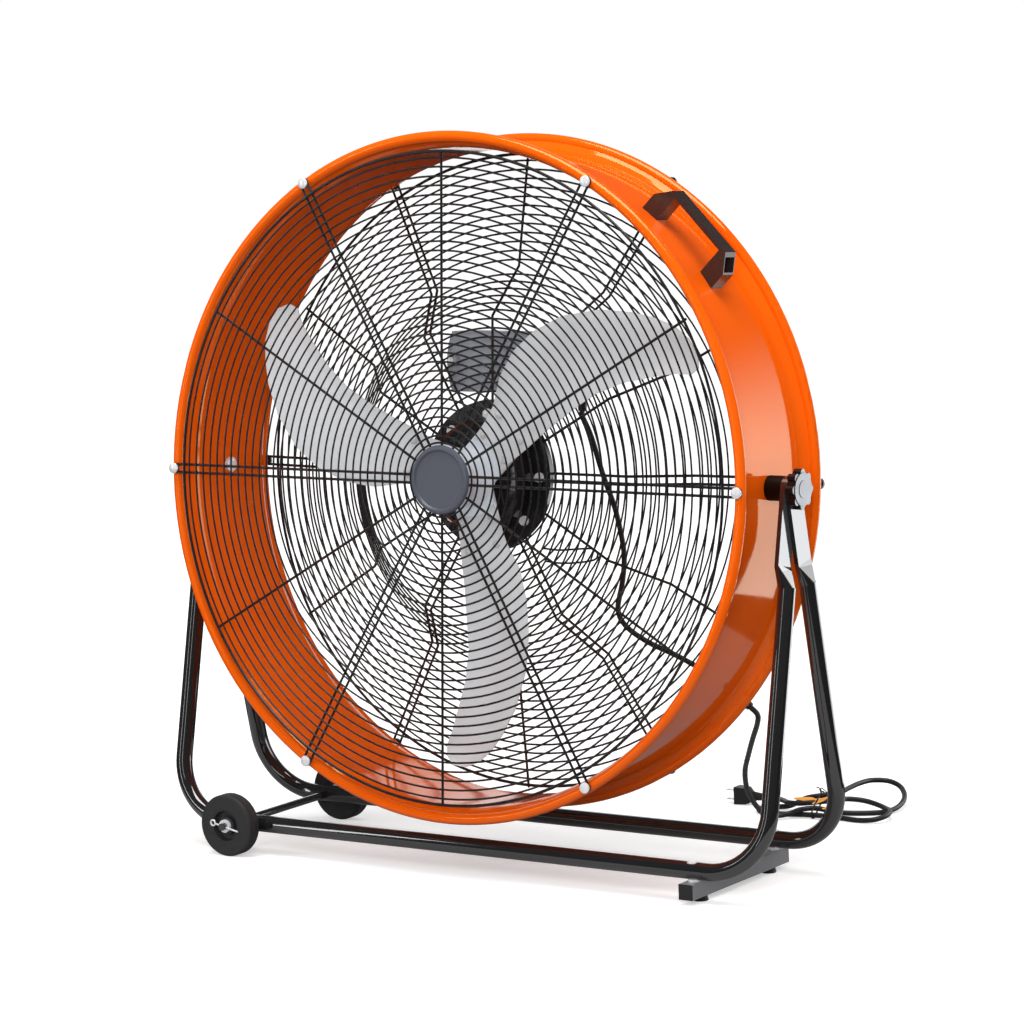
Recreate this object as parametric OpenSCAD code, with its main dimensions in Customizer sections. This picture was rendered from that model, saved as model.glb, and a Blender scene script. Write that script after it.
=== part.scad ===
// Drum fan on a tubular stand: a spun drum that tilts between two bent tube
// frames, with welded wire grilles, a three-bladed rotor, wheels at one end and
// a foot bar at the other. Millimetres, +Z up, the fan blows towards -Y.
// The origin is on the floor, under the middle of the fan.

/* [Drum] */
// Outside diameter over the rolled beads
drum_od = 875; // [800:1:895]
// Depth of the drum over both beads
drum_depth = 195; // [180:1:230]
// Diameter of the rolled bead at each rim
bead_d = 14; // [11:0.5:18]
// Outside diameter of the neck between the flares
neck_d = 836; // [800:1:850]
// Length of each flare along the drum's axis
flare_len = 21; // [12:1:40]
// Thickness of the drum's sheet
sheet = 1.2; // [0.8:0.1:2.5]
// Height of the tilting axis above the floor
axis_h = 502; // [490:1:560]
// Angle by which the drum looks up, in degrees
drum_tilt = 3.8; // [0:0.1:10]

/* [Carrying handle] */
// Place of the handle round the drum, in degrees from +X
handle_at = 45; // [35:1:70]
// Length of the handle along the drum
handle_len = 140; // [110:1:180]
// Width of the handle across the drum
handle_w = 25; // [16:1:40]
// Height of the handle's top above the neck
handle_rise = 40; // [32:1:60]
// Thickness of the grip
grip_t = 5; // [3:0.5:8]
// Size of each leg along the drum
handle_leg = 25.5; // [18:0.5:32]
// Length of the bevel at each top corner
bevel_len = 17; // [8:0.5:17]
// Height of the bevel at each top corner
bevel_h = 22; // [8:0.5:26]
// Wall of the handle's hollow legs
handle_wall = 1.6; // [1:0.1:3]

/* [Grilles] */
// Diameter of the radial wires
radial_d = 3.6; // [3:0.1:5]
// Diameter of the wire of the rings
ring_d = 2.6; // [2:0.1:3.4]
// Diameter of the wire of the rim rings
rim_ring_d = 4; // [3:0.1:5]
// Spacing of the rings
ring_pitch = 11.6; // [10:0.1:20]
// Radius of the first evenly spaced ring of the front grille
first_ring_r = 56; // [52:1:70]
// Radius of the ring round the centre cap
hub_ring_r = 47; // [45:0.5:49]
// How far the thick rim ring lies inside the circle of the screws
rim_gap = 18.5; // [16.5:0.5:30]
// Number of double radial wires, each with a screw at its end
pairs = 6; // [4:1:8]
// Distance between the two wires of a double radial
pair_gap = 10.5; // [9:0.1:14]
// Radius at which the rear grille starts to fall steeply inwards
rear_fold_r = 267; // [250:1:290]
// Distance of that fold from the middle of the drum
rear_fold_y = 75; // [60:1:85]
// Radius of the flat middle of the rear grille
rear_flat_r = 204; // [200:1:225]
// Distance of the flat middle from the middle of the drum
rear_flat_y = 14; // [10:0.5:20]
// Number of rings on the steep cone of the rear grille
steep_rings = 6; // [3:1:7]

/* [Centre cap] */
// Outside diameter of the front cap
cap_d = 88; // [70:1:89]
// Diameter of its sunk face
cap_face_d = 72; // [50:1:76]
// Depth of the cap
cap_t = 6; // [4:0.5:10]

/* [Grille screws] */
// Thread diameter of the grille screws
screw_d = 5; // [4:0.5:6]
// Head diameter of the grille screws
screw_head_d = 14; // [12.5:0.5:16]
// Head height of the grille screws
screw_head_h = 3.4; // [2:0.1:5]
// Length of the grille screws in the bead
screw_len = 11; // [6:0.5:12]

/* [Blades] */
// Radius of the blade tips
tip_r = 372; // [300:1:390]
// Thickness of the blades
blade_t = 2; // [1.5:0.1:3]
// Number of blades
blades = 3; // [3:1:3]
// Distance of the blade roots in front of the middle of the drum
root_y = 41; // [38:0.5:46]
// Diameter of the blade rivets
rivet_d = 5; // [4:0.5:6]
// Head diameter of the blade rivets
rivet_head_d = 10; // [8:0.5:12]

/* [Rotor hub] */
// Thickness of the hub's three-armed plate
spider_t = 3; // [2:0.1:4]
// Width of each arm
arm_w = 62; // [56:1:80]
// Radius to the end of each arm
arm_r = 106; // [102:1:120]
// Diameter of the hub's boss
boss_d = 38; // [30:1:48]
// Length of the boss in front of the plate
boss_len = 24; // [14:1:34]
// Diameter of the motor's shaft
shaft_d = 16; // [12:1:20]

/* [Motor] */
// How far the motor's flange plate reaches outside the circle of its bolts
flange_edge = 16; // [10:0.5:20]
// Thickness of the motor's flange plate
flange_t = 8; // [5:0.5:10]
// Diameter of the motor's can
can_d = 144; // [120:1:146]
// Length of the can in front of the flange
can_len = 34; // [24:0.5:36]
// Distance of the circle of the flange bolts outside the can
bolt_gap = 7; // [6.5:0.5:9]
// Number of flange bolts
flange_bolts = 8; // [4:4:8]
// Diameter of the flange bolts
flange_bolt_d = 6; // [5:0.5:6]
// How far the clamp ring behind the grille reaches outside the circle of the bolts
clamp_edge = 9; // [8:0.5:12]
// Thickness of the clamp ring
clamp_t = 3; // [2:0.5:5]

/* [Switch box] */
// Length of the switch box
box_len = 196; // [180:1:200]
// Height of the switch box
box_h = 78; // [70:1:80]
// Depth of the switch box without its cover
box_depth = 46; // [30:1:56]
// Middle of the box to the right of the drum's axis
box_x = 18; // [12:0.5:20]
// Middle of the box above the drum's axis
box_z = 144; // [142:0.5:146]
// Distance of the box behind the grille's flat middle
box_gap = 13; // [12.5:0.5:16]
// Thickness of the box's cover
cover_t = 2.5; // [1.5:0.5:5]
// Diameter of the switch knob
dial_d = 34; // [24:1:44]
// Height of the switch knob
dial_h = 15; // [10:1:18]

/* [Tilting pivots] */
// Diameter of the pivot bolts
pivot_d = 10; // [8:0.5:12]
// Clearance round the pivot bolts
pivot_clear = 0.08; // [0.04:0.01:0.1]
// Diameter of the spacers between drum and stand
spacer_d = 31; // [26:0.5:36]
// Length of the spacers beyond the neck
spacer_len = 23; // [18:0.5:40]
// Clearance between the drum's parts and the stand at the pivots
side_gap = 0.3; // [0.2:0.05:0.6]
// Diameter of the star knobs
star_d = 50; // [40:1:56]
// Thickness of the star knobs
star_t = 12; // [10:0.5:16]
// Number of lobes on a star knob
star_lobes = 8; // [6:1:10]

/* [Stand] */
// Diameter of the stand's tubes
tube_d = 22; // [20:0.5:25]
// Centre radius of the tube bends
bend_r = 80; // [60:1:95]
// Distance of each lower tube from the middle of the stand
run_y = 98; // [90:1:140]
// Height of the lower tubes above the floor
run_z = 40; // [38:0.5:41]
// Width of the tube ends where they are pressed flat
flat_w = 31; // [28:0.5:33]
// Thickness of the flat tube ends
flat_t = 5.7; // [4:0.1:7]
// Length of the flat below the pivot
flat_len = 95; // [85:1:120]
// Length over which the flat grows into the round tube
blend_len = 28; // [15:1:60]

/* [Foot bar] */
// Side of the square foot bar
bar_s = 19.4; // [16:0.2:20]
// Length of the foot bar
bar_len = 236; // [225:1:360]
// Wall of the foot bar
bar_wall = 1.5; // [1:0.1:2.5]
// Middle of the foot bar to the right of the stand's middle
bar_x = 351; // [330:1:356]
// Height of the rubber feet
foot_h = 6.8; // [5:0.2:9]
// Diameter of the rubber feet
foot_d = 20; // [14:0.5:24]
// Distance of each rubber foot from the middle of the stand
foot_y = 83; // [60:1:86]
// Diameter of the foot bar bolts
bar_bolt_d = 8; // [6:0.5:8]

/* [Wheels] */
// Diameter of the wheels
wheel_d = 82; // [80:1:90]
// Width of the wheels
wheel_w = 21.5; // [18:0.5:30]
// Distance of the wheels' outer faces from the middle of the stand
wheel_face_y = 135; // [134:0.5:180]
// Middle of the axle to the left of the stand's middle
axle_x = 346; // [330:1:356]
// Diameter of the axle
axle_d = 10; // [8:0.5:12]
// Radial clearance between wheel and axle
wheel_clear = 0.08; // [0.04:0.01:0.1]
// Diameter of the wheels' hubs
rim_d = 46; // [42:1:60]
// Diameter of the sunk ring in each wheel's face
recess_d = 40; // [36:1:41]
// Depth of that sunk ring
recess_t = 6; // [3:0.5:8]

/* [Mains lead] */
// Diameter of the mains lead
cord_d = 7; // [6.5:0.1:7.6]

/* [Hidden] */
fit = 0.1;
weld = 0.7;

// Drum
neck_r = neck_d / 2;
bead_r = drum_od / 2 - bead_d / 2;
bead_y = drum_depth / 2 - bead_d / 2;
flare_rise = bead_r - neck_r;
flare_end = 60;
neck_half = bead_y - bead_d / 3 - flare_len;
inner_r = neck_r - sheet;

// Grilles
wire_y = drum_depth / 2 + radial_d / 2 + fit;
ring_lift = radial_d / 2 + ring_d / 2 - weld;
rim_lift = radial_d / 2 + rim_ring_d / 2 - weld;
rim_ring_r = bead_r - rim_gap;
front_rings = floor((rim_ring_r - 7 - first_ring_r) / ring_pitch);
split_ring = floor(front_rings * 0.5);
front_split_r = first_ring_r + (split_ring + 0.5) * ring_pitch;
rear_rim = [bead_r, wire_y + fit];
rear_fold = [rear_fold_r, rear_fold_y];
rear_flat = [rear_flat_r, rear_flat_y];
flange_bolt_r = can_d / 2 + bolt_gap;
flange_d = 2 * (flange_bolt_r + flange_edge);
clamp_r = flange_bolt_r + clamp_edge;
clamp_in_r = flange_bolt_r - 13;
rear_end = [clamp_in_r, rear_flat_y];
rear_joint = 2;
rear_joint_at = rear_fold + rear_joint * (rear_rim - rear_fold) / norm(rear_rim - rear_fold);
single_end_r = flange_bolt_r + flange_bolt_d / 2 + 5;
steep = atan2(rear_fold_y - rear_flat_y, rear_fold_r - rear_flat_r);
slope = atan2(wire_y - rear_fold_y, rear_rim[0] - rear_fold_r);
flat_rings = floor((rear_flat_r - 4 - clamp_r - ring_d) / ring_pitch);
outer_rings = floor((rim_ring_r - 9 - rear_fold_r - 4) / ring_pitch);

// Motor and rotor, measured along the drum's axis
flange_back = rear_flat_y - radial_d / 2 - fit;
flange_front = flange_back - flange_t;
can_front = flange_front - can_len;
clamp_front = rear_flat_y + radial_d / 2 + fit;
spider_front = -root_y + blade_t / 2 + fit / 2;
spider_back = spider_front + spider_t;
boss_front = spider_front - boss_len;
shaft_front = boss_front - 12;
shaft_back = can_front + 24;
rivet_at = [[22, 56], [22, 92]];

// Switch box
box_front = rear_flat_y + box_gap;
box_back = box_front + box_depth;
box_mount_r = 159.4;
box_mount_at = [68, 114.5];
gland_x = box_x + box_len / 2 - 11.5;
gland_y = box_back - 9;
gland_z = box_z - box_h / 2;
gland_len = 22;

// Pivots and stand
seat_x = neck_r + spacer_len;
front_flat_x = seat_x + side_gap;
rear_flat_x = front_flat_x + flat_t + fit;
knob_x = rear_flat_x + flat_t + side_gap;
leg_x = front_flat_x + tube_d / 2;
lean = atan2(run_y, axis_h - run_z);
leg_len = norm([run_y, axis_h - run_z]);
bar_z = foot_h + bar_s / 2;
dimple = 1.5;
axle_z = wheel_d / 2;
wheel_in_y = wheel_face_y - wheel_w;
axle_end = wheel_face_y + 8;
clip_y = wheel_face_y + 4;
clip_turn = 12;

// Turns its children into the drum's own frame: Y along its axis
module drum() translate([0, 0, axis_h]) rotate([-drum_tilt, 0, 0]) children();
function drum_to_world(p) = [p[0], p[1] * cos(drum_tilt) + p[2] * sin(drum_tilt), axis_h + p[2] * cos(drum_tilt) - p[1] * sin(drum_tilt)];

// Turns its children about the drum's axis: 0 is +X and 90 is up
module at_angle(a) rotate([0, -a, 0]) children();

// Spins a profile of [radius, depth] points about the drum's axis
module spin_y(fn = 180) rotate([-90, 0, 0]) rotate_extrude($fn = fn) children();

// A cylinder along Y, from y0 to y1
module rod_y(d, y0, y1, fn = 48) translate([0, y0, 0]) rotate([-90, 0, 0]) cylinder(d = d, h = y1 - y0, $fn = fn);

// A cylinder along X, from x0 to x1
module rod_x(d, x0, x1, fn = 48) translate([x0, 0, 0]) rotate([0, 90, 0]) cylinder(d = d, h = x1 - x0, $fn = fn);

// Mirrors a copy of its children across the YZ or the XZ plane
module both_x() for (s = [0, 1]) mirror([s, 0, 0]) children();
module both_y() for (s = [0, 1]) mirror([0, s, 0]) children();

function reversed(v) = [for (i = [len(v) - 1:-1:0]) v[i]];

// The drum

// A point on the flare's outer face, and one on its inner face
function flare_out(t) = [
    neck_r + flare_rise * (1 - cos(t)) / (1 - cos(flare_end)),
    neck_half + flare_len * sin(t) / sin(flare_end)
];
function flare_dir(t) = [flare_rise * sin(t) / (1 - cos(flare_end)), flare_len * cos(t) / sin(flare_end)];
function flare_in(t) = let(d = flare_dir(t)) flare_out(t) + sheet * [-d[1], d[0]] / norm(d);
flare_steps = [for (i = [0:6]) i * flare_end / 6];

module drum_shell() color("darkorange") drum() difference() {
    union() {
        spin_y() polygon(concat(
            [for (t = reversed(flare_steps)) flare_out(t)],
            [for (t = flare_steps) [flare_out(t)[0], -flare_out(t)[1]]],
            [for (t = reversed(flare_steps)) [flare_in(t)[0], -flare_in(t)[1]]],
            [for (t = flare_steps) flare_in(t)]
        ));
        both_y() translate([0, bead_y, 0]) spin_y() translate([bead_r, 0]) circle(d = bead_d, $fn = 32);
    }
    for (i = [0:pairs - 1]) at_angle(i * 360 / pairs) both_y() translate([bead_r, 0, 0])
        rod_y(screw_d + 0.3, bead_y + bead_d / 2 - screw_len - 1, bead_y + bead_d, 24);
    both_x() rod_x(pivot_d + 0.4, inner_r - 10, neck_r + 10);
}

module handle_place() drum() rotate([0, 90 - handle_at, 0]) children();

module drum_handle() color("dimgray") handle_place() difference() {
    half = handle_len / 2;
    top = neck_r + handle_rise;
    base = neck_r - 20;
    rotate([90, 0, 0]) linear_extrude(height = handle_w, center = true) difference() {
        polygon([
            [-half, base], [half, base], [half, top - bevel_h], [half - bevel_len, top],
            [bevel_len - half, top], [-half, top - bevel_h]
        ]);
        translate([handle_leg - half, base - 1]) square([handle_len - 2 * handle_leg, top - grip_t - base + 1]);
    }
    both_x() translate([half - handle_leg + handle_wall, handle_wall - handle_w / 2, base - 1])
        cube([handle_leg - 2 * handle_wall, handle_w - 2 * handle_wall, top - grip_t - base + 1]);
    rotate([0, handle_at - 90, 0]) rod_y((neck_r + fit) * 2, -handle_w, handle_w, 180);
}

// The grilles

module wire_ring(r, y, d) translate([0, y, 0]) spin_y() translate([r, 0]) circle(d = d, $fn = 6);

// A straight wire in a plane through the drum's axis, between two [radius, depth] points
module wire_run(p, q, z, before, after) {
    turn = atan2(q[1] - p[1], q[0] - p[0]);
    translate([p[0], p[1], z]) rotate([0, 0, turn]) rod_x(radial_d, -before, norm(q - p) + after, 6);
}

// The flattened eye that joins the two wires of a pair round their screw
module pair_eye(r, y) translate([r, 0, 0]) difference() {
    rod_y(pair_gap + radial_d - 0.6, y - radial_d * 0.4, y + radial_d * 0.4);
    rod_y(pair_gap - radial_d, y - radial_d, y + radial_d);
}

module front_grille() color("black") drum() union() {
    for (i = [0:pairs - 1]) at_angle(i * 360 / pairs) {
        for (s = [-1, 1]) wire_run([front_split_r, -wire_y], [bead_r, -wire_y], s * pair_gap / 2, 0, 0);
        pair_eye(bead_r, -wire_y);
    }
    for (i = [0:pairs - 1]) at_angle((i + 0.5) * 360 / pairs)
        wire_run([front_split_r, -wire_y], [rim_ring_r + 2, -wire_y], 0, 0, 0);
    for (i = [split_ring + 1:front_rings]) wire_ring(first_ring_r + i * ring_pitch, -wire_y - ring_lift, ring_d);
    wire_ring(rim_ring_r, -wire_y - rim_lift, rim_ring_d);
}

module front_grille_centre() color("black") drum() union() {
    for (i = [0:pairs - 1], s = [-1, 1]) at_angle(i * 360 / pairs)
        wire_run([hub_ring_r - 8, -wire_y], [front_split_r, -wire_y], s * pair_gap / 2, 0, 0);
    for (i = [0:pairs - 1]) at_angle((i + 0.5) * 360 / pairs)
        wire_run([hub_ring_r - 8, -wire_y], [front_split_r, -wire_y], 0, 0, 0);
    wire_ring(hub_ring_r, -wire_y - ring_lift, ring_d);
    for (i = [0:split_ring]) wire_ring(first_ring_r + i * ring_pitch, -wire_y - ring_lift, ring_d);
}

// How far two equal wires run past a corner so that they close it
function corner(a, b, c) = let(u = (b - a) / norm(b - a), v = (c - b) / norm(c - b))
    radial_d / 2 * tan(acos(min(1, u * v)) / 2) + 0.05;
function on_line(a, b, r) = a[1] + (b[1] - a[1]) * (r - a[0]) / (b[0] - a[0]);

// A ring lying on the outer side of a sloping wire
module sloped_ring(r, y, d, lift, a) wire_ring(r - lift * sin(a), y + lift * cos(a), d);

module rear_grille() color("black") drum() union() {
    for (i = [0:pairs - 1]) at_angle(i * 360 / pairs) {
        for (s = [-1, 1]) wire_run(rear_fold, rear_rim, s * pair_gap / 2, -rear_joint - fit / 5, -1);
        pair_eye(bead_r, wire_y);
    }
    for (i = [0:pairs - 1]) at_angle((i + 0.5) * 360 / pairs)
        wire_run(rear_fold, [rim_ring_r + 2, on_line(rear_fold, rear_rim, rim_ring_r + 2)], 0, -rear_joint - fit / 5, 0);
    sloped_ring(rim_ring_r, on_line(rear_fold, rear_rim, rim_ring_r), rim_ring_d, rim_lift, slope);
    for (i = [0:outer_rings]) let(r = rim_ring_r - 9 - i * ring_pitch)
        sloped_ring(r, on_line(rear_fold, rear_rim, r), ring_d, ring_lift, slope);
}

module rear_grille_dish() color("black") drum() union() {
    c1 = corner(rear_flat, rear_fold, rear_rim);
    c2 = corner(rear_fold, rear_flat, rear_end);
    for (i = [0:2 * pairs - 1], s = (i % 2 == 0 ? [-1, 1] : [0])) at_angle(i * 180 / pairs) {
        wire_run(rear_flat, rear_fold, s * pair_gap / 2, c2, c1);
        wire_run(rear_fold, rear_joint_at, s * pair_gap / 2, c1, 0);
        wire_run(i % 2 == 0 ? rear_end : [single_end_r, rear_flat_y], rear_flat, s * pair_gap / 2, 0, c2);
    }
    for (i = [1:steep_rings]) let(p = rear_flat + (rear_fold - rear_flat) * i / (steep_rings + 1))
        sloped_ring(p[0], p[1], ring_d, ring_lift, steep);
    for (i = [0:flat_rings]) wire_ring(rear_flat_r - 4 - i * ring_pitch, rear_flat_y + ring_lift, ring_d);
}

// A domed screw standing on y = 0 with its thread towards +Y
module domed_screw(d, head_d, head_h, length) {
    spin_y(48) polygon(concat(
        [[0, 0], [head_d / 2, 0]],
        [for (t = [0:15:90]) [head_d / 2 * cos(t), -head_h * 0.35 - head_h * 0.65 * sin(t)]]
    ));
    rod_y(d, 0, length, 24);
}

module grille_screws() for (i = [0:pairs - 1]) at_angle(i * 360 / pairs)
    translate([bead_r, -wire_y - radial_d / 2 - fit, 0]) domed_screw(screw_d, screw_head_d, screw_head_h, radial_d + 2 * fit + screw_len);

module front_grille_screws() color("silver") drum() grille_screws();
module rear_grille_screws() color("silver") drum() mirror([0, 1, 0]) grille_screws();

module front_cap() color("slategray") drum() {
    back = -wire_y - radial_d / 2 - fit;
    spin_y(96) polygon([
        [0, back], [cap_d / 2 - 1.5, back], [cap_d / 2, back - 1.5], [cap_d / 2 - 1.5, back - cap_t + 1],
        [cap_d / 2 - 4, back - cap_t], [cap_face_d / 2 + 2, back - cap_t], [cap_face_d / 2, back - cap_t + 2.5], [0, back - cap_t + 2.5]
    ]);
}

// The tilting pivots

module pivot_spacers() color("black") drum() both_x() difference() {
    rod_x(spacer_d, neck_r - 8, seat_x);
    rod_x(pivot_d + 0.4, neck_r - 12, seat_x + 1);
    rod_y((neck_r + fit) * 2, -spacer_d, spacer_d, 180);
}

module pivot_bolts() color("silver") drum() both_x() {
    head = sqrt(pow(inner_r, 2) - pow(pivot_d, 2)) - fit;
    rod_x(2 * pivot_d, head - 4, head);
    rod_x(pivot_d, head - 1, knob_x + star_t - 4);
}

module star_knob() difference() {
    union() {
        rod_x(star_d - 9, knob_x, knob_x + star_t);
        for (i = [0:star_lobes - 1]) rotate([i * 360 / star_lobes, 0, 0]) translate([0, 0, star_d / 2 - 5.5])
            rod_x(11, knob_x, knob_x + star_t - 1, 32);
        rod_x(22, knob_x + star_t - 1, knob_x + star_t + 0.6);
    }
    rod_x(pivot_d + 2 * pivot_clear, knob_x - 1, knob_x + star_t - 3);
}
module right_star_knob() color("black") drum() star_knob();
module left_star_knob() color("black") drum() mirror([1, 0, 0]) star_knob();

// The stand

// One bent tube hanging from the pivot line, its ends pressed flat round the pivots
module bent_tube(flat_x) {
    low = leg_len - bend_r;
    both_x() {
        translate([leg_x, 0, -low]) cylinder(d = tube_d, h = low - flat_len - blend_len + 3, $fn = 48);
        translate([leg_x - bend_r, 0, -low]) rotate([90, 0, 0]) rotate([0, 0, -90])
            rotate_extrude(angle = 90, $fn = 96) translate([bend_r, 0]) circle(d = tube_d, $fn = 48);
        hull() {
            translate([flat_x, -flat_w / 2, -flat_len - 0.5]) cube([flat_t, flat_w, 1]);
            translate([leg_x, 0, -flat_len - blend_len]) cylinder(d = tube_d - 0.3, h = 1, $fn = 32);
        }
        translate([flat_x, -flat_w / 2, -flat_len]) cube([flat_t, flat_w, flat_len]);
        rod_x(flat_w, flat_x, flat_x + flat_t);
    }
    translate([0, 0, -leg_len]) rod_x(tube_d, -leg_x + bend_r, leg_x - bend_r);
}

// The bent tube in place, with its holes for the pivots, the axle and the foot bar's bolt
module frame_tube(side, flat_x) difference() {
    translate([0, 0, axis_h]) rotate([side * lean, 0, 0]) bent_tube(flat_x);
    translate([0, 0, axis_h]) rod_x(pivot_d + 2 * pivot_clear, -leg_x - tube_d, leg_x + tube_d);
    translate([-axle_x, side * run_y, axle_z]) rod_y(axle_d + 0.3, -tube_d, tube_d);
    translate([bar_x, side * run_y, 0]) {
        translate([0, 0, run_z - tube_d]) cylinder(d = bar_bolt_d + 0.4, h = 2 * tube_d, $fn = 32);
        translate([0, 0, run_z + tube_d / 2 - dimple]) cylinder(d = 15, h = 10, $fn = 32);
        translate([0, 0, run_z - tube_d / 2 - 9]) cylinder(d = 15, h = 10, $fn = 32);
    }
}
module front_frame_tube() color("black") frame_tube(-1, front_flat_x);
module rear_frame_tube() color("black") frame_tube(1, rear_flat_x);

module foot_bar() color("dimgray") difference() {
    translate([bar_x - bar_s / 2, -bar_len / 2 + 1.5, foot_h]) cube([bar_s, bar_len - 3, bar_s]);
    translate([bar_x - bar_s / 2 + bar_wall, -bar_len, foot_h + bar_wall]) cube([bar_s - 2 * bar_wall, 2 * bar_len, bar_s - 2 * bar_wall]);
    for (s = [-1, 1]) translate([bar_x, s * run_y, bar_z]) cylinder(d = bar_bolt_d + 0.4, h = bar_s, $fn = 32);
}

module foot_bar_caps() color("black") both_y() {
    translate([bar_x - bar_s / 2, bar_len / 2 - 1.5 + fit / 2, foot_h]) cube([bar_s, 1.5, bar_s]);
    translate([bar_x - bar_s / 2 + bar_wall + fit, bar_len / 2 - 9, foot_h + bar_wall + fit])
        cube([bar_s - 2 * bar_wall - 2 * fit, 9, bar_s - 2 * bar_wall - 2 * fit]);
}

module foot_bar_bolts() color("silver") both_y() translate([bar_x, run_y, 0]) {
    seat = run_z + tube_d / 2 - dimple + fit / 2;
    translate([0, 0, bar_z]) cylinder(d = bar_bolt_d, h = seat - bar_z + 1, $fn = 32);
    translate([0, 0, seat]) cylinder(d = 13.6, h = 1.5, $fn = 32);
    translate([0, 0, seat + 1.4]) cylinder(d1 = 13, d2 = 7, h = 1.8, $fn = 32);
    translate([0, 0, bar_z - 1]) cylinder(d = 12.4, h = bar_s / 2 - bar_wall + 1 - fit, $fn = 6);
}

module foot_bar_spacers() color("silver") both_y() translate([bar_x, run_y, foot_h + bar_s + fit / 2]) difference() {
    cylinder(d = 14, h = run_z - tube_d / 2 + 1 - foot_h - bar_s - fit, $fn = 32);
    translate([0, 0, -1]) cylinder(d = bar_bolt_d + 0.4, h = 20, $fn = 32);
}

module rubber_feet() color("black") both_y() translate([bar_x, foot_y, 0]) rotate_extrude($fn = 48)
    polygon([[0, 0], [foot_d / 2 - 0.6, 0], [foot_d / 2, 0.6], [foot_d / 2, 1.6], [foot_d / 2 - 0.8, 2.4], [foot_d / 2 - 1.2, foot_h - fit / 2], [0, foot_h - fit / 2]]);

// Wheels and axle

module axle_place() translate([-axle_x, 0, axle_z]) children();

module wheel_axle() color("silver") axle_place() difference() {
    rod_y(axle_d, -axle_end, axle_end);
    both_y() translate([0, clip_y, 0]) rotate([0, clip_turn, 0]) rod_x(3, -axle_d, axle_d, 24);
}

module axle_washers() color("silver") axle_place() both_y() {
    difference() {
        rod_y(axle_d + 8, run_y + tube_d / 2 + fit, wheel_in_y - side_gap);
        rod_y(axle_d + 0.3, run_y, wheel_in_y + 1);
    }
    difference() {
        rod_y(axle_d + 7, wheel_face_y - 1.7, clip_y - 1.6);
        rod_y(axle_d + 0.3, wheel_face_y - 3, clip_y + 1);
    }
}

// Hairpin clips: a straight leg through the axle, an eye, and a bowed leg outside
module axle_clips() color("silver") axle_place() both_y() translate([0, clip_y, 0]) rotate([0, clip_turn, 0]) {
    rod_x(2.4, -14, 24, 24);
    translate([-17.4, 0, 0]) rotate([90, 0, 0]) rotate_extrude($fn = 48) translate([3.6, 0]) circle(d = 2.4, $fn = 16);
}

module tyre() axle_place() spin_y(120) {
    r = wheel_d / 2;
    polygon([
        [rim_d / 2 + fit, wheel_in_y + 1], [r - 3, wheel_in_y], [r - 0.8, wheel_in_y + 1], [r, wheel_in_y + 3],
        [r, wheel_in_y + wheel_w * 0.6], [r - 1.6, wheel_in_y + wheel_w * 0.6 + 0.8], [r - 1.6, wheel_in_y + wheel_w * 0.6 + 2.2],
        [r, wheel_in_y + wheel_w * 0.6 + 3], [r, wheel_face_y - 3], [r - 0.8, wheel_face_y - 1], [r - 3, wheel_face_y],
        [rim_d / 2 + fit, wheel_face_y]
    ]);
}
module front_tyre() color("black") mirror([0, 1, 0]) tyre();
module rear_tyre() color("black") tyre();

module wheel_hub() axle_place() difference() {
    spin_y(96) polygon([
        [0, wheel_in_y + 1], [rim_d / 2, wheel_in_y + 1], [rim_d / 2, wheel_face_y], [recess_d / 2, wheel_face_y],
        [recess_d / 2 - 1.5, wheel_face_y - recess_t], [13, wheel_face_y - recess_t], [12, wheel_face_y - 2], [0, wheel_face_y - 2]
    ]);
    rod_y(axle_d + 2 * wheel_clear, wheel_in_y - 1, wheel_face_y + 1);
}
module front_wheel_hub() color("black") mirror([0, 1, 0]) wheel_hub();
module rear_wheel_hub() color("black") wheel_hub();

// The motor

module motor_housing() color("black") drum() difference() {
    r = can_d / 2;
    spin_y(120) polygon([
        [0, flange_front - fit / 2], [r, flange_front - fit / 2], [r, can_front + 12], [r - 2, can_front + 6], [r - 7, can_front + 2],
        [r - 14, can_front], [26, can_front], [24, can_front - 0.1], [0, can_front - 0.1]
    ]);
    rod_y(shaft_d + 2 * pivot_clear, can_front - 2, shaft_back + 1);
}

module motor_flange() color("black") drum() difference() {
    rod_y(flange_d, flange_front, flange_back, 120);
    for (i = [0:flange_bolts - 1]) at_angle(i * 360 / flange_bolts) translate([flange_bolt_r, 0, 0])
        rod_y(flange_bolt_d + 0.4, flange_front - 1, flange_back + 1, 24);
}

module motor_clamp_ring() color("black") drum() difference() {
    rod_y(2 * clamp_r, clamp_front, clamp_front + clamp_t, 96);
    rod_y(2 * clamp_in_r, clamp_front - 1, clamp_front + clamp_t + 1, 96);
    for (i = [0:flange_bolts - 1]) at_angle(i * 360 / flange_bolts) translate([flange_bolt_r, 0, 0])
        rod_y(flange_bolt_d + 0.4, clamp_front - 1, clamp_front + clamp_t + 1, 24);
}

module motor_bolts() color("silver") drum() for (i = [0:flange_bolts - 1])
    at_angle(i * 360 / flange_bolts) translate([flange_bolt_r, 0, 0]) {
        back = clamp_front + clamp_t + fit / 2;
        rod_y(flange_bolt_d, flange_front - 4, back + 6, 24);
        rod_y(2 * flange_bolt_d + 1, flange_front - fit / 2 - 1.5, flange_front - fit / 2, 32);
        rotate([-90, 0, 0]) translate([0, 0, flange_front - fit / 2 - 5.5]) cylinder(d = 11.5, h = 4.2, $fn = 6);
        rotate([-90, 0, 0]) translate([0, 0, back]) cylinder(d = 11.5, h = 5, $fn = 6);
    }

// The rotor

module motor_shaft() color("silver") drum() rod_y(shaft_d, shaft_front, shaft_back, 64);

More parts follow.
